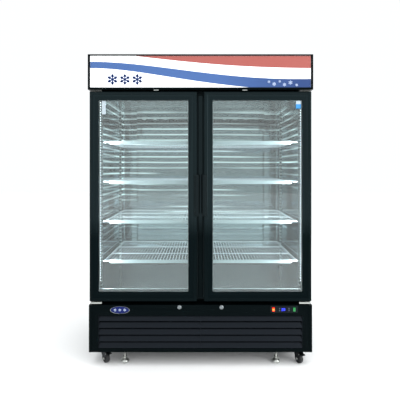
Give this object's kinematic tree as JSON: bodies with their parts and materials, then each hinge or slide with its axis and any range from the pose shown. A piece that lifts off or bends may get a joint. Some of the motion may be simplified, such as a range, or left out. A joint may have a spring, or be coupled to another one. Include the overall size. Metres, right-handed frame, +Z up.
{
  "type": "glass door merchandiser",
  "caption": "Free-standing refrigerated merchandiser: two hinged glass doors, open-bar shelves, lit sign box, louvred machine compartment, swivel casters and levelling feet.",
  "frame": {"origin": "on the floor, at the middle of the plan of the bounding box", "axes": "+Z up, doors and sign face -Y, +X to the right of someone facing the doors"},
  "size_m": [1.382, 0.8, 1.93],
  "materials": {
    "painted_steel": "satin black enamel",
    "door_profile": "black powder coat on extruded aluminium",
    "black_plastic": "moulded black plastic",
    "louvre_plastic": "moulded dark grey plastic",
    "stainless": "brushed stainless sheet",
    "galvanised": "galvanised sheet",
    "foam": null,
    "white_coat": "white epoxy coat on steel wire",
    "acrylic": "translucent white acrylic",
    "glass": "clear double glazing",
    "gasket": "black magnetic gasket",
    "zinc": "zinc plate",
    "chrome": "polished chrome",
    "coil": "aluminium fins",
    "compressor_black": "black enamel",
    "caster_rubber": "hard grey-black tread",
    "lamp": "opal tube",
    "red_lens": "translucent red",
    "green_lens": "translucent green"
  },
  "bodies": {
    "cabinet": {"side_panel_left": "painted_steel", "side_panel_right": "painted_steel", "outer_wrap": "painted_steel", "sign_housing": "painted_steel", "front_fascia": "painted_steel", "base_chassis": "painted_steel", "insulation": "foam", "inner_liner": "stainless", "air_duct_panel": "stainless", "pilaster_front_left": "stainless", "pilaster_front_right": "stainless", "pilaster_rear_left": "stainless", "pilaster_rear_right": "stainless", "front_frame": "black_plastic", "control_panel": "black_plastic", "sign_panel": "acrylic", "sign_lamp": "lamp", "front_grille": "louvre_plastic", "rear_grille": "galvanised", "compressor": "compressor_black", "condenser_unit": "coil", "evaporator_coil": "coil", "shelf_left_1": "white_coat", "shelf_left_2": "white_coat", "shelf_left_3": "white_coat", "shelf_left_4": "white_coat", "hinge_lower_left": "zinc", "hinge_upper_left": "zinc", "shelf_right_1": "white_coat", "shelf_right_2": "white_coat", "shelf_right_3": "white_coat", "shelf_right_4": "white_coat", "hinge_lower_right": "zinc", "hinge_upper_right": "zinc"},
    "door_left": {"door_frame_left": "door_profile", "door_glass_left": "glass", "door_gasket_left": "gasket", "door_handle_left": "black_plastic"},
    "door_right": {"door_frame_right": "door_profile", "door_glass_right": "glass", "door_gasket_right": "gasket", "door_handle_right": "black_plastic"},
    "lock_left": {"door_lock_left": "chrome"},
    "lock_right": {"door_lock_right": "chrome"},
    "light_rocker": {"light_switch": "red_lens"},
    "power_rocker": {"power_switch": "green_lens"},
    "condenser_fan": {"condenser_fan": "black_plastic"},
    "evaporator_fan": {"evaporator_fan": "black_plastic"},
    "caster_front_left": {"caster_fork_front_left": "zinc"},
    "wheel_front_left": {"caster_wheel_front_left": "caster_rubber"},
    "brake_front_left": {"caster_brake_front_left": "black_plastic"},
    "caster_front_right": {"caster_fork_front_right": "zinc"},
    "wheel_front_right": {"caster_wheel_front_right": "caster_rubber"},
    "brake_front_right": {"caster_brake_front_right": "black_plastic"},
    "caster_rear_left": {"caster_fork_rear_left": "zinc"},
    "wheel_rear_left": {"caster_wheel_rear_left": "caster_rubber"},
    "caster_rear_right": {"caster_fork_rear_right": "zinc"},
    "wheel_rear_right": {"caster_wheel_rear_right": "caster_rubber"},
    "foot_left": {"levelling_foot_left": "galvanised"},
    "foot_right": {"levelling_foot_right": "galvanised"}
  },
  "joints": [
    {"name": "door_left_swing", "type": "hinge", "parent": "cabinet", "child": "door_left", "pos_m": [-0.672, -0.356, 1], "axis": [0, 0, -1], "range_deg": [0, 100], "stiffness_Nm_per_rad": 2},
    {"name": "door_right_swing", "type": "hinge", "parent": "cabinet", "child": "door_right", "pos_m": [0.672, -0.356, 1], "axis": [0, 0, 1], "range_deg": [0, 100], "stiffness_Nm_per_rad": 2},
    {"name": "lock_left_turn", "type": "hinge", "parent": "cabinet", "child": "lock_left", "pos_m": [-0.13, -0.365, 0.372], "axis": [0, 1, 0], "range_deg": [0, 90]},
    {"name": "lock_right_turn", "type": "hinge", "parent": "cabinet", "child": "lock_right", "pos_m": [0.13, -0.365, 0.372], "axis": [0, -1, 0], "range_deg": [0, 90]},
    {"name": "light_switch_rock", "type": "hinge", "parent": "cabinet", "child": "light_rocker", "pos_m": [0.451, -0.3763, 0.3595], "axis": [-1, 0, 0], "range_deg": [0, 16]},
    {"name": "power_switch_rock", "type": "hinge", "parent": "cabinet", "child": "power_rocker", "pos_m": [0.58, -0.3763, 0.3595], "axis": [-1, 0, 0], "range_deg": [0, 16]},
    {"name": "condenser_fan_spin", "type": "hinge", "parent": "cabinet", "child": "condenser_fan", "pos_m": [0.22, -0.198, 0.2334], "axis": [0, -1, 0], "continuous": true},
    {"name": "evaporator_fan_spin", "type": "hinge", "parent": "cabinet", "child": "evaporator_fan", "pos_m": [0, 0.321, 1.56], "axis": [0, -1, 0], "continuous": true},
    {"name": "caster_front_left_swivel", "type": "hinge", "parent": "cabinet", "child": "caster_front_left", "pos_m": [-0.615, -0.31, 0.085], "axis": [0, 0, 1], "continuous": true},
    {"name": "wheel_front_left_roll", "type": "hinge", "parent": "caster_front_left", "child": "wheel_front_left", "pos_m": [-0.59968, -0.32286, 0.03], "axis": [-0.6428, -0.766, 0], "continuous": true},
    {"name": "brake_front_left_press", "type": "hinge", "parent": "caster_front_left", "child": "brake_front_left", "pos_m": [-0.58666, -0.33378, 0.06304], "axis": [0.6428, 0.766, 0], "range_deg": [0, 12]},
    {"name": "caster_front_right_swivel", "type": "hinge", "parent": "cabinet", "child": "caster_front_right", "pos_m": [0.615, -0.31, 0.085], "axis": [0, 0, 1], "continuous": true},
    {"name": "wheel_front_right_roll", "type": "hinge", "parent": "caster_front_right", "child": "wheel_front_right", "pos_m": [0.62345, -0.32813, 0.03], "axis": [-0.9063, -0.4226, 0], "continuous": true},
    {"name": "brake_front_right_press", "type": "hinge", "parent": "caster_front_right", "child": "brake_front_right", "pos_m": [0.63064, -0.34353, 0.06304], "axis": [0.9063, 0.4226, 0], "range_deg": [0, 12]},
    {"name": "caster_rear_left_swivel", "type": "hinge", "parent": "cabinet", "child": "caster_rear_left", "pos_m": [-0.615, 0.32, 0.085], "axis": [0, 0, 1], "continuous": true},
    {"name": "wheel_rear_left_roll", "type": "hinge", "parent": "caster_rear_left", "child": "wheel_rear_left", "pos_m": [-0.60816, 0.33879, 0.03], "axis": [0.9397, -0.342, 0], "continuous": true},
    {"name": "caster_rear_right_swivel", "type": "hinge", "parent": "cabinet", "child": "caster_rear_right", "pos_m": [0.615, 0.32, 0.085], "axis": [0, 0, 1], "continuous": true},
    {"name": "wheel_rear_right_roll", "type": "hinge", "parent": "caster_rear_right", "child": "wheel_rear_right", "pos_m": [0.60982, 0.33932, 0.03], "axis": [0.9659, 0.2588, 0], "continuous": true},
    {"name": "foot_left_raise", "type": "slide", "parent": "cabinet", "child": "foot_left", "axis": [0, 0, 1], "range_m": [-0.005, 0.02]},
    {"name": "foot_right_raise", "type": "slide", "parent": "cabinet", "child": "foot_right", "axis": [0, 0, 1], "range_m": [-0.005, 0.02]}
  ]
}
